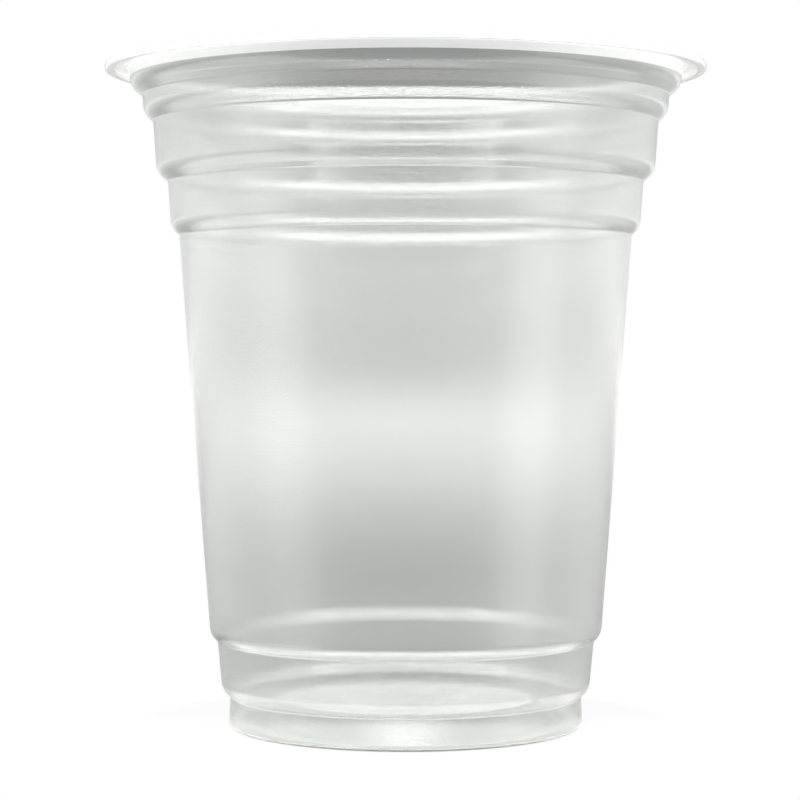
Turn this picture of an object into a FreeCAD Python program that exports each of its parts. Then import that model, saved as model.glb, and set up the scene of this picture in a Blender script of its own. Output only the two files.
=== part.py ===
import FreeCAD, Part
import os
from math import cos, radians, tan
from FreeCAD import Vector

# Disposable drinking cup: one thin shell, drawn hot from a single sheet of clear plastic.
# The axis is Z and the underside of the foot lies on z = 0. Sizes are in millimetres.

# Whole cup
height = 104.6
rim_diameter = 95.0
wall = 0.35

# Rim: a flat flange, with a lip at its trimmed edge that keeps the full thickness of the sheet
flange_width = 3.7
neck_round = 0.8
lip_height = 1.1
lip_width = 1.4
lip_edge_round = 0.4
lip_inner_round = 0.15

# Stacking rings from the flange downwards: how tall each is, and how far its ledge steps in
collar_height = 4.55
collar_step = 1.9
collar_draft = 6.0
slim_ring_height = 4.0
slim_ring_step = 1.5
upper_ring_height = 9.45
upper_ring_step = 1.8
lower_ring_height = 8.4
lower_ring_step = 1.3
ring_draft = 3.8

# Body, and the band under it. The body is as tall as the other tiers leave room for.
body_step = 1.15
body_draft = 4.33
band_height = 8.8
band_step = 1.3
band_draft = 5.1

# Every ledge slopes alike, leaves its wall in the same round, and meets the next wall in a crease
ledge_slope = 41.0
ledge_round = 2.8
crease_round = 0.3

# Foot: it widens downwards, so that nested cups let go, and stands on a flat ring
foot_height = 4.9
foot_flare = 3.0
foot_round = 0.8
standing_width = 2.6

# Base: a flat panel raised above the standing ring, with a sloping wall between them
base_rise = 3.8
base_ramp_width = 4.3
base_round = 1.0


def rounded_path(corners):
    """Wire through corners (radius, height, rounding), each turned by an arc tangent to its two sides.

    Where two arcs would meet on one side, both are made smaller until they fit.
    """
    points = [Vector(r, 0, z) for r, z, rounding in corners]
    sides = [(b - a).Length for a, b in zip(points, points[1:])]
    half_angles = [(a - b).getAngle(c - b) / 2 for a, b, c in zip(points, points[1:], points[2:])]
    reaches = [corner[2] / tan(half) for corner, half in zip(corners[1:], half_angles)]
    wanted = [a + b for a, b in zip([0] + reaches, reaches + [0])]
    room = [min(1, 0.98 * side / reach) if reach else 1 for side, reach in zip(sides, wanted)]

    edges = []
    start = points[0]
    for i, (reach, half) in enumerate(zip(reaches, half_angles)):
        before, corner, after = points[i:i + 3]
        reach *= min(room[i], room[i + 1])
        back = (before - corner).normalize()
        ahead = (after - corner).normalize()
        inward = (back + ahead).normalize()
        arc_start = corner + back * reach
        arc_end = corner + ahead * reach
        arc_middle = corner + inward * (reach / cos(half) - reach * tan(half))
        edges.append(Part.makeLine(start, arc_start))
        edges.append(Part.Arc(arc_start, arc_middle, arc_end).toShape())
        start = arc_end
    edges.append(Part.makeLine(start, points[-1]))
    return Part.Wire(edges)


def tier(top_radius, top, tier_height, draft, step):
    """Two corners: the foot of a drafted wall, and the crease where its ledge meets the next wall."""
    crease = top - tier_height
    ledge_rise = step * tan(radians(ledge_slope))
    wall_foot = top_radius - (tier_height - ledge_rise) * tan(radians(draft))
    return [
        (wall_foot, crease + ledge_rise, ledge_round),
        (wall_foot - step, crease, crease_round),
    ]


def outside_line():
    """Outside of the sheet: under the flange, down the tiers, round the foot and in to the axis."""
    flange_underside = height - wall
    neck_radius = rim_diameter / 2 - flange_width
    other_tiers = (collar_height + slim_ring_height + upper_ring_height + lower_ring_height
                   + band_height + foot_height)
    body_height = flange_underside - other_tiers
    tiers = [
        (collar_height, collar_draft, collar_step),
        (slim_ring_height, ring_draft, slim_ring_step),
        (upper_ring_height, ring_draft, upper_ring_step),
        (lower_ring_height, ring_draft, lower_ring_step),
        (body_height, body_draft, body_step),
        (band_height, band_draft, band_step),
    ]
    corners = [
        (rim_diameter / 2 - lip_width / 2, flange_underside, 0),
        (neck_radius, flange_underside, neck_round),
    ]
    radius, level = neck_radius, flange_underside
    for tier_height, draft, step in tiers:
        corners += tier(radius, level, tier_height, draft, step)
        radius, level = corners[-1][:2]

    foot_radius = radius + foot_height * tan(radians(foot_flare))
    standing_inner = foot_radius - foot_round - standing_width
    panel_radius = standing_inner - base_ramp_width
    corners += [
        (foot_radius, 0, foot_round),
        (standing_inner, 0, base_round),
        (panel_radius, base_rise, base_round),
        (0, base_rise, 0),
    ]
    return rounded_path(corners)


def turned(section):
    """A flat section swept once round the axis."""
    return section.revolve(Vector(0, 0, 0), Vector(0, 0, 1), 360)


def shell():
    """The sheet: its outside line, thickened inwards by the wall and turned."""
    return turned(outside_line().makeOffset2D(-wall, fill=True, openResult=True))


def lip():
    """The thick edge of the flange, its corners rounded as the trimming tool leaves them."""
    outer = rim_diameter / 2
    inner = outer - lip_width
    bottom = height - lip_height
    return turned(Part.Face(rounded_path([
        (inner, height, 0),
        (outer, height, lip_edge_round),
        (outer, bottom, lip_edge_round),
        (inner, bottom, lip_inner_round),
        (inner, height, 0),
    ])))


os.makedirs("parts", exist_ok=True)
cup = shell().fuse(lip()).removeSplitter().Solids[0]
cup.exportStep("parts/cup.step")
print("cup valid", cup.isValid(), "volume", round(cup.Volume), "mm3, area", round(cup.Area), "mm2")
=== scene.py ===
from math import pi, radians, tan

import bpy
import numpy as np
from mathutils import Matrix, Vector


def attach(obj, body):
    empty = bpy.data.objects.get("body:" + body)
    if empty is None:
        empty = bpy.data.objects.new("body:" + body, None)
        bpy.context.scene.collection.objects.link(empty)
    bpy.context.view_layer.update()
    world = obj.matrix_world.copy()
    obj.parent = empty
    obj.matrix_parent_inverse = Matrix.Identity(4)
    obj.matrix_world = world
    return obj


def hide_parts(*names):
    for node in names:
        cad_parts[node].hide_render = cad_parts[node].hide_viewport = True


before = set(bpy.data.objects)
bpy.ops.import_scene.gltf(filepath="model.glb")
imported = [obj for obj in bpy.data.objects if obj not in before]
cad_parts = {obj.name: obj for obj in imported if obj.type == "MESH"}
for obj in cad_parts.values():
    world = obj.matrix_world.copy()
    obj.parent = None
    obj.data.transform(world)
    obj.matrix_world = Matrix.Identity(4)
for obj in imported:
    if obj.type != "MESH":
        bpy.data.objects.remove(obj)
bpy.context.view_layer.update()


# The cup: one thin shell, drawn hot from a single sheet of clear plastic over a turned mould.
# The flange keeps a thick lip where it was trimmed, four rings below it keep nested cups apart,
# and an undercut foot stands on a flat ring round a raised base.

# sizes in millimetres, the same as the construction model's
height, rim_radius, wall = 104.6, 47.5, 0.35
flange_width, neck_round = 3.7, 0.8
lip_height, lip_width, lip_round = 1.1, 1.4, 0.4
tiers = [
    # height, draft in degrees, how far the ledge under it steps in
    (4.55, 6.0, 1.9),
    (4.0, 3.8, 1.5),
    (9.45, 3.8, 1.8),
    (8.4, 3.8, 1.3),
    (64.15, 4.33, 1.15),
    (8.8, 5.1, 1.3),
]
ledge_slope, ledge_round, crease_round = 41.0, 2.8, 0.3
foot_height, foot_flare, foot_round = 4.9, 3.0, 0.8
standing_width, base_rise, base_ramp, base_round = 2.6, 3.8, 4.3, 1.0


def outside_corners():
    """Corners (radius, height, rounding) of the outside, from under the flange down to the axis.

    Each drafted wall ends in a rounded nose; a ledge falls from it at one slope to a tight crease.
    A ledge rises by step * tan(slope), and over its wall the radius falls by
    (height - rise) * tan(draft).
    """
    radius, level = rim_radius - flange_width, height - wall
    corners = [(rim_radius - lip_width, level, 0.0), (radius, level, neck_round)]
    for tall, draft, step in tiers:
        rise = step * tan(radians(ledge_slope))
        radius -= (tall - rise) * tan(radians(draft))
        level -= tall
        corners.append((radius, level + rise, ledge_round))
        radius -= step
        corners.append((radius, level, crease_round))
    foot = radius + foot_height * tan(radians(foot_flare))
    inner = foot - foot_round - standing_width
    return corners + [
        (foot, 0.0, foot_round),
        (inner, 0.0, base_round),
        (inner - base_ramp, base_rise, base_round),
        (0.0, base_rise, 0.0),
    ]


def rounded(corners, spacing):
    """Points and unit tangents along a line through corners, each turned by an arc.

    A straight side is start + t * (end - start). An arc is centre + rounding * (cos a, sin a), with
    the angle a going evenly between the two tangent points. Where two arcs would meet on one side,
    both shrink to fit, with 2 % of the side left straight.
    """
    arc_step, straight_share = 0.16, 0.02
    corners = np.array(corners)
    at, rounding = corners[:, :2], corners[:, 2].copy()
    side = np.diff(at, axis=0)
    length = np.hypot(side[:, 0], side[:, 1])
    along = side / length[:, None]
    turn = np.arctan2(
        along[:-1, 0] * along[1:, 1] - along[:-1, 1] * along[1:, 0], (along[:-1] * along[1:]).sum(1)
    )
    reach = np.zeros(len(at))
    reach[1:-1] = rounding[1:-1] * np.tan(np.abs(turn) / 2)
    free = (1 - straight_share) * length
    room = np.minimum(1, free / np.maximum(reach[:-1] + reach[1:], 1e-9))
    shrink = np.minimum(np.r_[1, room], np.r_[room, 1])
    reach *= shrink
    rounding *= shrink

    points, tangents = [], []
    for i in range(len(side)):
        start, end = at[i] + along[i] * reach[i], at[i + 1] - along[i] * reach[i + 1]
        count = 2 + int(np.hypot(*(end - start)) / spacing)
        t = np.linspace(0, 1, count)[:, None]
        points.append(start + t * (end - start))
        tangents.append(np.repeat(along[i][None], count, axis=0))
        if i < len(turn) and rounding[i + 1] > 0:
            bend = turn[i]
            across = np.array([-along[i][1], along[i][0]]) * np.sign(bend)
            centre = end + across * rounding[i + 1]
            steps = 2 + int(abs(bend) / arc_step)
            a = np.linspace(0, bend, steps + 1)[1:-1, None]
            c, s = np.cos(a), np.sin(a)
            spoke = end - centre
            x, y = along[i]
            points.append(centre + np.hstack([c * spoke[0] - s * spoke[1], s * spoke[0] + c * spoke[1]]))
            tangents.append(np.hstack([c * x - s * y, s * x + c * y]))
    return np.vstack(points), np.vstack(tangents)


def section():
    """Closed section of the wall, from the axis under the base, out over the lip and back inside.

    The inside is the outside line moved by the wall's thickness along its normal. Next to each point
    stand the outside point of the same spot of the sheet, and the side: 1 outside and -1 inside.
    """
    wall_spacing, lip_spacing, lip_inner_round = 2.2, 0.8, 0.15
    line, tangent = rounded(outside_corners(), wall_spacing)
    inside = line + wall * np.stack([tangent[:, 1], -tangent[:, 0]], axis=1)
    inner_lip, bottom = rim_radius - lip_width, height - lip_height
    lip, _ = rounded([
        (inner_lip, height - wall, 0.0),
        (inner_lip, bottom, lip_inner_round),
        (rim_radius, bottom, lip_round),
        (rim_radius, height, lip_round),
        (inner_lip, height, 0.0),
    ], lip_spacing)
    path = np.vstack([line[::-1], lip, inside])
    sheet = np.vstack([line[::-1], lip, line])
    side = np.r_[np.ones(len(line) + len(lip)), -np.ones(len(line))]
    keep = np.r_[True, np.hypot(*np.diff(path, axis=0).T) > 1e-4]
    return path[keep], sheet[keep], side[keep]


def turned(path, count):
    """Surface (r(s) cos a, r(s) sin a, z(s)) for the section's point s and the angle a round the axis.

    Between rim and foot the radius also wanders by slow waves, size * sin(turns * a + twist * z +
    start), as a drawn wall does. They fade in above the foot and out below the rim.
    """
    a = np.linspace(0, 2 * pi, count, endpoint=False)[None, :]
    r, z = path[:, :1], path[:, 1:]
    waves = [
        # turns, twist, start, size
        (2, 0.031, 0.4, 0.05), (3, -0.052, 1.9, 0.03), (5, 0.11, 4.1, 0.01), (9, 0.21, 0.8, 0.002),
    ]
    foot_fade, rim_fade = np.clip((z - 6) / 8, 0, 1), np.clip((102 - z) / 4, 0, 1)
    wander = sum(size * np.sin(turns * a + twist * z + start) for turns, twist, start, size in waves)
    r = r + foot_fade * rim_fade * wander
    return np.stack([r * np.cos(a), r * np.sin(a), np.broadcast_to(z, r.shape)], axis=2) * 0.001


def cup_mesh(name, count):
    """Mesh of the turned section, with a fan of faces at each pole and the surface's own normals.

    A normal is the cross product of the directions round the axis and along the section.
    Two attributes tell the material where on the sheet a point lies: "sheet", the place on the
    outside, and "side". So both faces of the sheet can carry the same ripples.
    """
    path, sheet, side = section()
    grid = turned(path[1:-1], count)
    rows = len(grid)
    poles = np.array([[0, 0, path[0, 1]], [0, 0, path[-1, 1]]]) * 0.001
    i, j = np.meshgrid(np.arange(rows - 1), np.arange(count), indexing="ij")
    k = (j + 1) % count
    quads = np.stack([i * count + j, i * count + k, (i + 1) * count + k, (i + 1) * count + j], axis=2)
    j, k, last = j[0], k[0], (rows - 1) * count
    under = np.stack([np.full(count, rows * count), k, j], axis=1)
    over = np.stack([np.full(count, rows * count + 1), last + j, last + k], axis=1)
    mesh = bpy.data.meshes.new(name)
    faces = quads.reshape(-1, 4).tolist() + under.tolist() + over.tolist()
    mesh.from_pydata(np.vstack([grid.reshape(-1, 3), poles]), [], faces)

    along = np.gradient(grid, axis=0)
    around = np.roll(grid, -1, axis=1) - np.roll(grid, 1, axis=1)
    normal = np.cross(around, along)
    normal /= np.linalg.norm(normal, axis=2, keepdims=True)
    mesh.polygons.foreach_set("use_smooth", np.ones(len(mesh.polygons), bool))
    mesh.normals_split_custom_set_from_vertices(np.vstack([normal.reshape(-1, 3), [[0, 0, -1], [0, 0, 1]]]))

    place = np.vstack([turned(sheet[1:-1], count).reshape(-1, 3), poles[:1], poles[:1]])
    mesh.attributes.new("sheet", "FLOAT_VECTOR", "POINT").data.foreach_set("vector", place.ravel())
    sides = np.r_[np.repeat(side[1:-1], count), 1, -1]
    mesh.attributes.new("side", "FLOAT", "POINT").data.foreach_set("value", sides)
    return mesh


def clear_plastic(name, colour, clearness, roughness, glow_depth):
    """Clear plastic with a share of haze, glossy over the fine orange peel that the hot mould leaves.

    In the haze, light travels on average the glow depth, in metres, before it comes out again.
    The ripples are one noise over the sheet. Times the side, what rises outside sinks inside, so the
    sheet stays evenly thick: its gloss breaks up, and the view through it stays straight.
    """
    material = bpy.data.materials.new(name)
    material.use_nodes = True
    nodes, links = material.node_tree.nodes, material.node_tree.links
    plastic = nodes["Principled BSDF"]
    plastic.inputs["Base Color"].default_value = colour
    plastic.inputs["IOR"].default_value = 1.49
    plastic.inputs["Transmission Weight"].default_value = clearness
    plastic.inputs["Roughness"].default_value = roughness
    plastic.inputs["Subsurface Weight"].default_value = float(glow_depth > 0)
    plastic.inputs["Subsurface Radius"].default_value = (1, 1, 1)
    plastic.inputs["Subsurface Scale"].default_value = glow_depth
    plastic.inputs["Coat Weight"].default_value = 1
    plastic.inputs["Coat Roughness"].default_value = 0.04
    sheet, side = nodes.new("ShaderNodeAttribute"), nodes.new("ShaderNodeAttribute")
    sheet.attribute_name, side.attribute_name = "sheet", "side"
    peel = nodes.new("ShaderNodeTexNoise")
    peel.inputs["Scale"].default_value = 3000
    peel.inputs["Detail"].default_value = 1
    links.new(sheet.outputs["Vector"], peel.inputs["Vector"])
    ripple = nodes.new("ShaderNodeMath")
    ripple.operation = "MULTIPLY"
    links.new(peel.outputs["Fac"], ripple.inputs[0])
    links.new(side.outputs["Fac"], ripple.inputs[1])
    for depth, normal in [(0.00001, "Normal"), (0.00005, "Coat Normal")]:
        bump = nodes.new("ShaderNodeBump")
        bump.inputs["Distance"].default_value = depth
        links.new(ripple.outputs[0], bump.inputs["Height"])
        links.new(bump.outputs["Normal"], plastic.inputs[normal])
    return material


cup = bpy.data.objects.new("cup_shell", cup_mesh("cup_shell", count=256))
bpy.context.scene.collection.objects.link(cup)

# the drawn wall is clear; the flange with its lip, and the base, are drawn less and look milky
finishes = [
    # name, colour, clearness, roughness, glow depth
    ("clear_plastic", (0.945, 0.965, 0.95, 1), 0.95, 0.04, 0),
    ("clear_plastic_lip", (0.965, 0.98, 0.975, 1), 0.05, 0.1, 0.004),
    ("clear_plastic_base", (0.97, 0.98, 0.97, 1), 0.1, 0.1, 0),
]
for finish in finishes:
    cup.data.materials.append(clear_plastic(*finish))
centres = np.empty(len(cup.data.polygons) * 3)
cup.data.polygons.foreach_get("center", centres)
across, level = np.hypot(centres[::3], centres[1::3]) * 1000, centres[2::3] * 1000
lip_depth, neck_overlap, panel_radius, panel_depth = 1.8, 0.3, 20.5, 1.0
in_lip = (level > height - lip_depth) & (across > rim_radius - flange_width - neck_overlap)
in_base = (across < panel_radius) & (level < base_rise + panel_depth)
region = np.select([in_lip, in_base], [1, 2])
cup.data.polygons.foreach_set("material_index", region.astype(np.int32))
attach(cup, "root")
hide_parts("cup")


# The stage: a round, pale table top that fades into the white behind it, so that no edge shows.
# What shines through the plastic is the dimmer studio beyond it.


def ramp(nodes, stops):
    """Colour ramp through stops (position, grey, warmth), coloured grey * (1 + warmth, 1, 1 - warmth)."""
    node = nodes.new("ShaderNodeValToRGB")
    elements = node.color_ramp.elements
    elements[0].position, elements[1].position = stops[0][0], stops[-1][0]
    for position, grey, warmth in stops[1:-1]:
        elements.new(position)
    for element, (position, grey, warmth) in zip(elements, stops):
        element.color = (grey * (1 + warmth), grey, grey * (1 - warmth), 1)
    return node


# a flat disc (r cos a, r sin a), with rings closer together near the cup
table_radius, table_level = 0.6, -0.0002
spokes, rings = 96, 24
radius = np.linspace(0, 1, rings + 1)[1:, None] ** 1.5 * table_radius
angle = np.linspace(0, 2 * pi, spokes, endpoint=False)[None, :]
flat = np.full((rings, spokes), table_level)
disc = np.stack([radius * np.cos(angle), radius * np.sin(angle), flat], axis=2)
i, j = np.meshgrid(np.arange(rings - 1), np.arange(spokes), indexing="ij")
k = (j + 1) % spokes
faces = np.stack([i * spokes + j, (i + 1) * spokes + j, (i + 1) * spokes + k, i * spokes + k], axis=2)
middle = np.stack([np.full(spokes, rings * spokes), j[0], k[0]], axis=1).tolist()
top = bpy.data.meshes.new("table_top")
points = np.vstack([disc.reshape(-1, 3), [[0, 0, table_level]]])
top.from_pydata(points, [], faces.reshape(-1, 4).tolist() + middle)
table = bpy.data.objects.new("table_top", top)
bpy.context.scene.collection.objects.link(table)
white = bpy.data.materials.new("white_table")
white.use_nodes = True
nodes, links = white.node_tree.nodes, white.node_tree.links
paint = nodes["Principled BSDF"]
paint.inputs["Base Color"].default_value = (0.42, 0.42, 0.41, 1)
paint.inputs["Roughness"].default_value = 0.6
place = nodes.new("ShaderNodeTexCoord")
away = nodes.new("ShaderNodeVectorMath")
away.operation = "LENGTH"
links.new(place.outputs["Object"], away.inputs[0])
fade = nodes.new("ShaderNodeMapRange")
fade.interpolation_type = "SMOOTHSTEP"
fade.inputs["From Min"].default_value = 0.04
fade.inputs["From Max"].default_value = 0.07
links.new(away.outputs["Value"], fade.inputs["Value"])

# from under the cup forwards the table shines a little with a painted glow, an emission where no lamp is:
# the ledges mirror it as a painted reflection, and the base above it looks lighter through the plastic; to
# the camera itself the table is nearly white
painted_glow_reach = 0.2
reach = nodes.new("ShaderNodeMapRange")
reach.inputs["From Max"].default_value = painted_glow_reach
links.new(away.outputs["Value"], reach.inputs["Value"])
# painted glow: a ring 37 to 43 mm out that the ledges mirror as a painted reflection, and a weaker middle
# under the base that lightens it
painted_glow = ramp(nodes, [
    # share of the glow's reach from the middle, grey, warmth
    (0.02, 0.55, 0.01), (0.1, 0.42, 0.01), (0.15, 0.4, 0.01), (0.185, 0.7, 0.01),
    (0.215, 0.7, 0.01), (0.26, 0, 0),
])
links.new(reach.outputs["Result"], painted_glow.inputs["Fac"])
links.new(painted_glow.outputs["Color"], paint.inputs["Emission Color"])
split = nodes.new("ShaderNodeSeparateXYZ")
links.new(place.outputs["Object"], split.inputs[0])
front = nodes.new("ShaderNodeMapRange")
front.inputs["From Min"].default_value = 0.012
front.inputs["From Max"].default_value = -0.002
links.new(split.outputs["Y"], front.inputs["Value"])
links.new(front.outputs["Result"], paint.inputs["Emission Strength"])
ray = nodes.new("ShaderNodeLightPath")
hidden = nodes.new("ShaderNodeMath")
hidden.operation = "MULTIPLY_ADD"
hidden.inputs[1].default_value = 0.93
hidden.use_clamp = True
links.new(ray.outputs["Is Camera Ray"], hidden.inputs[0])
links.new(fade.outputs["Result"], hidden.inputs[2])
gone = nodes.new("ShaderNodeBsdfTransparent")
blend = nodes.new("ShaderNodeMixShader")
links.new(hidden.outputs[0], blend.inputs[0])
links.new(paint.outputs["BSDF"], blend.inputs[1])
links.new(gone.outputs["BSDF"], blend.inputs[2])
links.new(blend.outputs["Shader"], nodes["Material Output"].inputs["Surface"])
table.data.materials.append(white)


# The light: a large softbox above and in front of the cup, one at each side and a narrow one on the
# ceiling, in a studio whose light changes with the height over the horizon and, towards the sides,
# with the bearing. Past the cup the camera sees white; what shines through the plastic is the studio.
softboxes = [
    # name, centre, aimed at, width, height, strength, colour
    ("overhead", (0.0, -0.58, 0.8), (0, 0, 0.05), 2.2, 1.31, 3.7, (1.0, 0.99, 0.97)),
    ("ceiling", (0.0, 0.0, 0.9), (0, 0, 0), 2.2, 0.3, 0.5, (1.0, 0.99, 0.97)),
    ("left", (-0.95, -0.25, 0.78), (0, 0, 0.05), 0.8, 0.7, 1.5, (1.0, 0.99, 0.97)),
    ("right", (0.95, -0.25, 0.78), (0, 0, 0.05), 0.8, 0.7, 1.5, (1.0, 0.99, 0.97)),
]
for name, centre, target, width, tall, strength, colour in softboxes:
    lamp = bpy.data.lights.new(name, "AREA")
    lamp.shape = "RECTANGLE"
    lamp.size, lamp.size_y = width, tall
    lamp.color = colour
    lamp.energy = strength * pi * width * tall  # a flat lamp's power for its brightness
    box = bpy.data.objects.new(name, lamp)
    box.location = centre
    box.rotation_euler = (Vector(centre) - Vector(target)).to_track_quat("Z", "Y").to_euler()
    box.visible_camera = False
    bpy.context.scene.collection.objects.link(box)

world = bpy.data.worlds.new("studio")
bpy.context.scene.world = world
world.use_nodes = True
nodes, links = world.node_tree.nodes, world.node_tree.links
place = nodes.new("ShaderNodeTexCoord")
split = nodes.new("ShaderNodeSeparateXYZ")
links.new(place.outputs["Generated"], split.inputs[0])

# the light by the height, within this sine of the horizon
span = 0.2
rise = nodes.new("ShaderNodeMapRange")
rise.inputs["From Min"].default_value = -span
rise.inputs["From Max"].default_value = span
links.new(split.outputs["Z"], rise.inputs["Value"])
horizon = [
    # sine of the height over the horizon, grey, warmth
    (-0.16, 0.32, 0), (-0.121, 0.31, 0), (-0.113, 0.42, 0), (-0.104, 0.42, 0), (-0.096, 0.35, 0),
    (-0.088, 0.36, 0), (-0.068, 0.54, 0), (-0.049, 0.82, 0.02), (-0.028, 1.04, 0.02),
    (-0.008, 0.6, 0), (0.012, 0.57, 0), (0.032, 0.59, 0), (0.058, 0.38, 0), (0.08, 0.27, 0),
    (0.118, 0.27, 0), (0.2, 0.25, 0),
]
tone = ramp(nodes, [((sine + span) / (2 * span), grey, warmth) for sine, grey, warmth in horizon])
links.new(rise.outputs["Result"], tone.inputs["Fac"])

# the side light by the bearing
bearing = nodes.new("ShaderNodeMath")
bearing.operation = "ARCTAN2"
links.new(split.outputs["X"], bearing.inputs[0])
links.new(split.outputs["Y"], bearing.inputs[1])
turn = nodes.new("ShaderNodeMapRange")
turn.inputs["From Min"].default_value = -pi
turn.inputs["From Max"].default_value = pi
links.new(bearing.outputs[0], turn.inputs["Value"])
flats = [
    # bearing in degrees from straight behind the cup to the right, share of the side light
    (-150, 0.04), (-130, 0.1), (-120, 0.44), (-102, 0.6), (-84, 0.33), (-25, 0.32), (-8, 0.13),
    (-4, 0.1), (-2, 0), (2, 0), (4, 0.08), (8, 0.12), (25, 0.28), (80, 0.23), (90, 0.25),
    (102, 0.55), (112, 0.42), (120, 0.4), (130, 0.08), (150, 0.04),
]
share = ramp(nodes, [((degrees + 180) / 360, level, 0) for degrees, level in flats])
links.new(turn.outputs["Result"], share.inputs["Fac"])

# the side light by the height too, a little askew: the height is tilted up to the right
askew, lowest = 0.12, -0.9
tilted = nodes.new("ShaderNodeMath")
tilted.operation = "MULTIPLY_ADD"
tilted.inputs[1].default_value = askew
links.new(split.outputs["X"], tilted.inputs[0])
links.new(split.outputs["Z"], tilted.inputs[2])
climb = nodes.new("ShaderNodeMapRange")
climb.inputs["From Min"].default_value = lowest
climb.inputs["From Max"].default_value = lowest + 1
links.new(tilted.outputs[0], climb.inputs["Value"])
heights = [
    # tilted sine of the height, share of the side light there
    (-0.9, 1), (-0.5, 1), (-0.4, 0), (-0.34, 0), (-0.2, 0.7), (-0.04, 0.62), (0.03, 1),
]
low = ramp(nodes, [(sine - lowest, level, 0) for sine, level in heights])
links.new(climb.outputs["Result"], low.inputs["Fac"])
lit = nodes.new("ShaderNodeMath")
lit.operation = "MULTIPLY"
links.new(share.outputs["Color"], lit.inputs[0])
links.new(low.outputs["Color"], lit.inputs[1])
side_light = (2.0, 2.05, 2.02, 1)
sides = nodes.new("ShaderNodeMix")
sides.data_type = "RGBA"
sides.inputs["B"].default_value = side_light
links.new(lit.outputs[0], sides.inputs["Factor"])
links.new(tone.outputs["Color"], sides.inputs["A"])
studio = nodes["Background"]
links.new(sides.outputs["Result"], studio.inputs["Color"])

# the haze of the plastic and the table take the studio's light half as strong again
ray = nodes.new("ShaderNodeLightPath")
fill = nodes.new("ShaderNodeMath")
fill.operation = "MULTIPLY_ADD"
fill.inputs[1].default_value = 0.5
fill.inputs[2].default_value = 1
links.new(ray.outputs["Is Diffuse Ray"], fill.inputs[0])
links.new(fill.outputs[0], studio.inputs["Strength"])

# straight to the camera, past the cup, the studio is white
past = nodes.new("ShaderNodeBackground")
past.inputs["Color"].default_value = (1, 1, 1, 1)
seen = nodes.new("ShaderNodeMixShader")
links.new(ray.outputs["Is Camera Ray"], seen.inputs[0])
links.new(studio.outputs["Background"], seen.inputs[1])
links.new(past.outputs["Background"], seen.inputs[2])
links.new(seen.outputs["Shader"], nodes["World Output"].inputs["Surface"])

bpy.context.scene.view_settings.view_transform = "Standard"


# The camera stands 0.4 m in front of the cup, a little above its middle, and looks very slightly
# down through a long lens.
camera = bpy.data.objects.new("camera", bpy.data.cameras.new("camera"))
bpy.context.scene.collection.objects.link(camera)
camera.data.sensor_width = 36
camera.data.lens = 111.33
camera.location = (-0.0009, -0.3939, 0.0598)
looks_down = 0.0204
camera.rotation_euler = (pi / 2 - looks_down, 0, 0)
camera.data.clip_start = 0.01
bpy.context.scene.camera = camera
